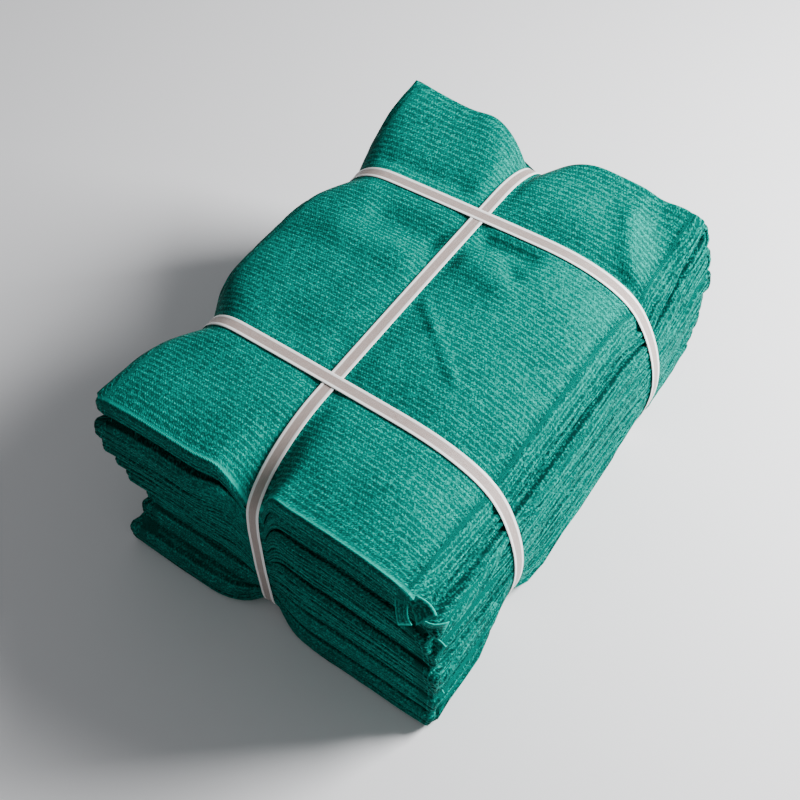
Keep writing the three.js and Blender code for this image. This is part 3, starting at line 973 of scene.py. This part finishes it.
def strap_band_tree():
    """Geometry nodes that sweep a flat band with raised edges round a loop of points."""
    tree = bpy.data.node_groups.new("strap_band", "GeometryNodeTree")
    add = partial(add_node, tree)
    for name, kind in (
        ("Geometry", "Geometry"), ("Width", "Float"), ("Thickness", "Float"), ("Edge share", "Float"),
        ("Step", "Float"), ("Across", "Vector"), ("Material", "Material"),
    ):
        tree.interface.new_socket(name, in_out="INPUT", socket_type="NodeSocket" + kind)
    tree.interface.new_socket("Geometry", in_out="OUTPUT", socket_type="NodeSocketGeometry")
    given = add("NodeGroupInput").outputs

    loop = add("GeometryNodeMeshToCurve", {"Mesh": given["Geometry"]})
    soft = add("GeometryNodeCurveSplineType", {"Curve": loop}, spline_type="CATMULL_ROM")
    fine = add("GeometryNodeSetSplineResolution", {"Geometry": soft, "Resolution": 6})
    even = add("GeometryNodeResampleCurve", {"Curve": fine, "Length": given["Step"]}, mode="LENGTH")
    facing = add("GeometryNodeSetCurveNormal", {"Curve": even, "Normal": given["Across"]}, mode="FREE")
    routed = add("GeometryNodeCaptureAttribute", {"Geometry": facing}, domain="POINT")
    routed.capture_items.new("FLOAT", "along")
    tree.links.new(add("GeometryNodeSplineParameter").outputs["Length"], routed.inputs["along"])

    outline = add(
        "GeometryNodeCurvePrimitiveQuadrilateral", {"Width": given["Width"], "Height": given["Thickness"]},
        mode="RECTANGLE",
    )
    rounded = add(
        "GeometryNodeFilletCurve", {"Curve": outline, "Radius": BAND_CORNER * MM, "Count": 2}, mode="POLY",
    )
    dense = add("GeometryNodeResampleCurve", {"Curve": rounded, "Count": BAND_POINTS}, mode="COUNT")
    x, y = add("ShaderNodeSeparateXYZ", (add("GeometryNodeInputPosition"),)).outputs[:2]
    from_middle = add("ShaderNodeMath", (x,), operation="ABSOLUTE")
    bead = add("ShaderNodeMapRange", (
        add("ShaderNodeMath", (from_middle, given["Width"]), operation="DIVIDE"),
        add("ShaderNodeMath", (given["Edge share"], BAND_SLOPE), operation="SUBTRACT"),
        given["Edge share"], BAND_MIDDLE, 1.0,
    ), interpolation_type="SMOOTHSTEP")
    thinned = add("ShaderNodeMath", (y, bead), operation="MULTIPLY")
    raised = add("ShaderNodeCombineXYZ", (x, thinned, 0.0))
    section = add("GeometryNodeSetPosition", {"Geometry": dense, "Position": raised})
    sectioned = add("GeometryNodeCaptureAttribute", {"Geometry": section}, domain="POINT")
    sectioned.capture_items.new("FLOAT", "across")
    tree.links.new(x, sectioned.inputs["across"])

    made = add("GeometryNodeCurveToMesh", {
        "Curve": routed.outputs["Geometry"], "Profile Curve": sectioned.outputs["Geometry"],
    })
    for name, captured in (("along", routed), ("across", sectioned)):
        made = add("GeometryNodeStoreNamedAttribute", {
            "Geometry": made, "Name": name, "Value": captured.outputs[name],
        }, data_type="FLOAT", domain="POINT")
    shaded = add("GeometryNodeSetShadeSmooth", {"Geometry": made})
    real = add("GeometryNodeRealizeInstances", {"Geometry": shaded})
    finished = add("GeometryNodeSetMaterial", {"Geometry": real, "Material": given["Material"]})
    add("NodeGroupOutput", (finished,))
    return tree


def through_nodes(piece, tree, **values):
    """Runs an object through a geometry node tree and keeps the result as its plain mesh."""
    modifier = piece.modifiers.new("nodes", "NODES")
    modifier.node_group = tree
    sockets = {item.name: item.identifier for item in tree.interface.items_tree if item.in_out == "INPUT"}
    for name, value in values.items():
        modifier[sockets[name.replace("_", " ")]] = value
    depsgraph = bpy.context.evaluated_depsgraph_get()
    made = bpy.data.meshes.new_from_object(piece.evaluated_get(depsgraph))
    piece.modifiers.remove(modifier)
    old = piece.data
    piece.data = made
    bpy.data.meshes.remove(old)
    made.name = piece.name
    return piece


def make_strap(name, net, tree, material, sizes):
    strap = STRAPS[name]
    route = strap_route(name, net)
    across = (1.0, 0.0, 0.0) if strap["along"] else (-float(slant_at(strap["at"])), 1.0, 0.0)
    count = len(route)
    mesh = bpy.data.meshes.new(name + "_route")
    mesh.from_pydata(
        [[c * MM for c in point] for point in route], [(i, (i + 1) % count) for i in range(count)], [],
    )
    piece = bpy.data.objects.new(name + "_band", mesh)
    bpy.context.scene.collection.objects.link(piece)
    return through_nodes(
        piece, tree, Width=sizes.width, Thickness=sizes.thickness, Edge_share=sizes.edge_share,
        Step=sizes.step, Across=across, Material=material,
    )


def a_length(name, description, millimetres, least):
    """A length that a user can change."""
    return bpy.props.FloatProperty(
        name=name, description=description, default=millimetres * MM, min=least * MM,
        subtype="DISTANCE", unit="LENGTH", precision=4,
    )


def a_colour(name, description, hex_colour):
    """A colour that a user can change."""
    return bpy.props.FloatVectorProperty(
        name=name, description=description, default=linear(hex_colour), min=0.0, max=1.0,
        subtype="COLOR", size=4,
    )


class NettingSizes(bpy.types.PropertyGroup):
    rib_pitch: a_length("Rib pitch", "Distance from one knitted rib to the next", RIB_PITCH, 1)
    stitch_pitch: a_length("Stitch pitch", "Length of one chain stitch along a rib", 2.6, 0.5)
    ply_pitch: a_length("Ply pitch", "Distance between the rows that the plies' edges make", 5.0, 0.5)
    # The specks' brightest spots are painted glints
    speck_length: a_length("Speck length", "Length of a spot of a tape that catches the light", 1.3, 0.3)
    speck_width: a_length("Speck width", "Width of a spot of a tape that catches the light", 0.9, 0.3)
    knit_depth: a_length("Knit depth", "Height of the knit's relief", 0.5, 0)
    gap_colour: a_colour("Gaps", "Colour deep between the tapes", "#002c28")
    tape_colour: a_colour("Tape", "Colour of the flat tapes", "#006459")
    thread_colour: a_colour("Threads", "Colour of the raised stitches", "#06b09e")
    gloss_colour: a_colour("Gloss", "Tint of the light that the tapes throw back", "#18c8b4")


class StrapSizes(bpy.types.PropertyGroup):
    width: a_length("Width", "Width of the band", STRAP_WIDTH, 4)
    thickness: a_length("Thickness", "Thickness of the band at its edges", STRAP_THICK, 0.3)
    edge_share: bpy.props.FloatProperty(
        name="Edge", description="Where the raised edge starts, as a share of the width from the middle",
        default=0.33, min=0.1, max=0.5, subtype="FACTOR",
    )
    step: a_length("Step", "Length of one step of the band's mesh", 3.0, 0.5)
    grip_pitch: a_length("Grip pitch", "Size of the lozenges rolled into the band", 1.8, 0.5)
    edge_colour: a_colour("Edges", "Colour of the smooth edges", "#fbfaf8")
    # The centre colour is painted shade for the recessed middle
    centre_colour: a_colour("Centre", "Colour of the thinner middle", "#a4918a")


class StageSizes(bpy.types.PropertyGroup):
    floor_size: a_length("Floor size", "Side of the square floor", 6000, 1000)
    floor_colour: a_colour("Floor", "Colour of the floor", "#f4f4f6")
    key_size: a_length("Key size", "Side of the square light", 600, 10)
    key_power: bpy.props.FloatProperty(
        name="Key light", description="Power of the light, in watts", default=62.0, min=0.0,
    )
    sky: bpy.props.FloatProperty(
        name="Sky", description="Strength of the even light from all round", default=0.26, min=0.0,
    )
    sky_colour: a_colour("Sky colour", "Colour of the even light", "#f3f5f8")


class NETTING_OT_cloth(bpy.types.Operator):
    """Builds the folded net"""
    bl_idname = "netting.cloth"
    bl_label = "Folded net"

    def execute(self, context):
        piece = netting_mesh()
        piece.data.materials.append(knitted_polyethylene(context.scene.netting_sizes))
        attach(piece, "root")
        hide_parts("netting")
        return {"FINISHED"}


class NETTING_OT_straps(bpy.types.Operator):
    """Builds the three straps that tie the bale"""
    bl_idname = "netting.straps"
    bl_label = "Straps"

    def execute(self, context):
        sizes = context.scene.strap_sizes
        material = embossed_polypropylene(sizes)
        tree = strap_band_tree()
        net = bpy.data.objects["folded_net"]
        for name in STRAPS:
            piece = make_strap(name, net, tree, material, sizes)
            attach(piece, "root")
            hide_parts(name)
        bpy.data.node_groups.remove(tree)
        return {"FINISHED"}


class NETTING_OT_stage(bpy.types.Operator):
    """Builds the floor, the light and the camera"""
    bl_idname = "netting.stage"
    bl_label = "Stage"

    def execute(self, context):
        sizes = context.scene.stage_sizes
        make_floor(sizes)
        make_light(sizes)
        make_camera()
        return {"FINISHED"}


def make_camera():
    data = bpy.data.cameras.new("camera")
    data.sensor_width = SENSOR
    data.lens = SENSOR * CAMERA_PIXELS / IMAGE_SIDE
    camera = bpy.data.objects.new("camera", data)
    placed = Matrix.Translation([c * MM for c in CAMERA_PLACE])
    for axis, degrees in CAMERA_TURNS:
        placed = placed @ Matrix.Rotation(math.radians(degrees), 4, axis)
    camera.matrix_world = placed
    bpy.context.scene.collection.objects.link(camera)
    bpy.context.scene.camera = camera


def make_floor(sizes):
    half = sizes.floor_size / MM / 2
    floor = build_mesh(
        "floor", [(-half, -half, 0), (half, -half, 0), (half, half, 0), (-half, half, 0)], [(0, 1, 2, 3)],
    )
    material, tree = new_material("matt_paper_floor")
    shader = add_node(tree, "ShaderNodeBsdfPrincipled", {"Base Color": sizes.floor_colour, "Roughness": 0.9})
    add_node(tree, "ShaderNodeOutputMaterial", (shader,))
    floor.data.materials.append(material)


def make_light(sizes):
    world = bpy.data.worlds.new("studio")
    world.use_nodes = True
    world.node_tree.nodes.clear()
    sky = add_node(world.node_tree, "ShaderNodeBackground", (sizes.sky_colour, sizes.sky))
    add_node(world.node_tree, "ShaderNodeOutputWorld", (sky,))
    bpy.context.scene.world = world
    data = bpy.data.lights.new("key", "AREA")
    data.size = sizes.key_size
    data.energy = sizes.key_power
    light = bpy.data.objects.new("key", data)
    light.location = Vector(KEY_PLACE) * MM
    aim = Vector(KEY_AIM) * MM - light.location
    light.rotation_euler = aim.to_track_quat("-Z", "Y").to_euler()
    bpy.context.scene.collection.objects.link(light)


class NETTING_PT_panel(bpy.types.Panel):
    bl_label = "Folded shade netting"
    bl_space_type = "VIEW_3D"
    bl_region_type = "UI"
    bl_category = "Netting"

    def draw(self, context):
        for group, (_, operator) in GROUPS.items():
            box = self.layout.box()
            box.operator(operator.bl_idname)
            settings = getattr(context.scene, group)
            for name in settings.__annotations__:
                box.prop(settings, name)


GROUPS = {
    "netting_sizes": (NettingSizes, NETTING_OT_cloth),
    "strap_sizes": (StrapSizes, NETTING_OT_straps),
    "stage_sizes": (StageSizes, NETTING_OT_stage),
}
CLASSES = [cls for pair in GROUPS.values() for cls in pair] + [NETTING_PT_panel]


def register():
    for cls in CLASSES:
        bpy.utils.register_class(cls)
    for name, (sizes, _) in GROUPS.items():
        setattr(bpy.types.Scene, name, bpy.props.PointerProperty(type=sizes))


def unregister():
    for name in GROUPS:
        delattr(bpy.types.Scene, name)
    for cls in reversed(CLASSES):
        bpy.utils.unregister_class(cls)


def main():
    register()
    bpy.ops.netting.cloth()
    bpy.ops.netting.straps()
    bpy.ops.netting.stage()


if __name__ == "__main__":
    main()
